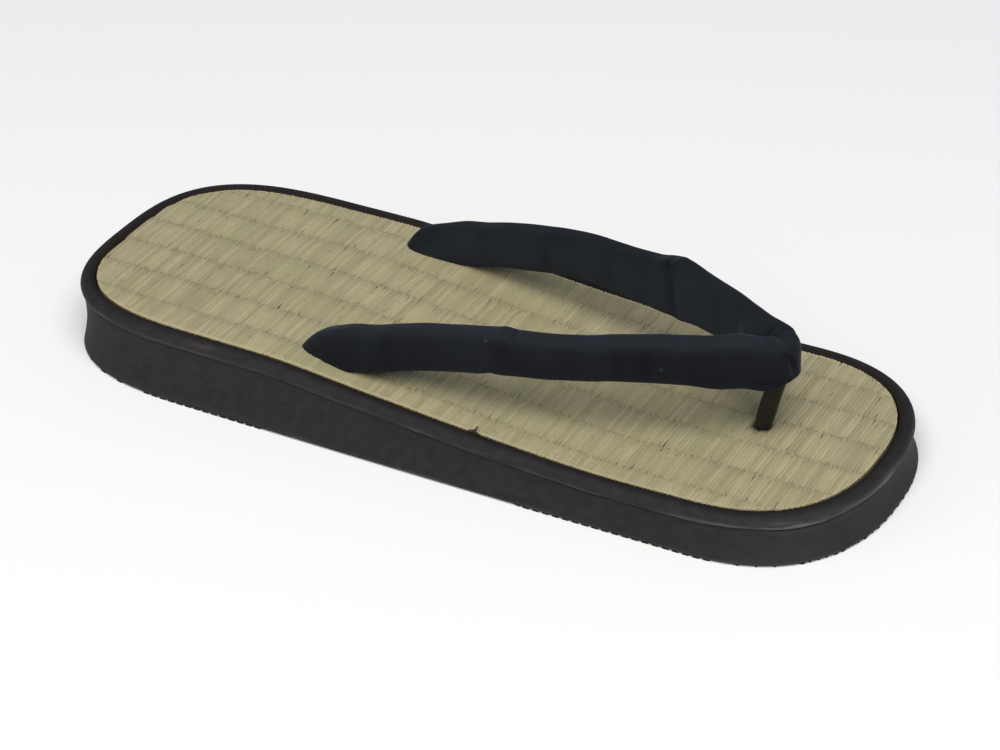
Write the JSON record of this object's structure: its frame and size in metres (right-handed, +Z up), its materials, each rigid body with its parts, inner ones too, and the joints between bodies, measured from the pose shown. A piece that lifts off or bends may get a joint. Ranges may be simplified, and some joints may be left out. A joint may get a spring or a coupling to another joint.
{
  "type": "zori sandal",
  "caption": "Thonged zori sandal: wedge-shaped moulded foam sole, woven rush insole, padded V straps joined over a toe post.",
  "frame": {"origin": "on the floor under the middle of the sole", "axes": "+X points from heel to toe, +Y to the side that is on the left when the toe points away, +Z up from the floor"},
  "size_m": [0.2713, 0.0996, 0.0503],
  "materials": {
    "foam_sole": "matte moulded foam",
    "woven_rush": "woven rush",
    "velvet_strap": "velvet nap",
    "post_cord": "satin"
  },
  "bodies": {
    "root": {"sole": "foam_sole", "insole_mat": "woven_rush", "straps": "velvet_strap", "toe_post": "post_cord"}
  },
  "joints": []
}
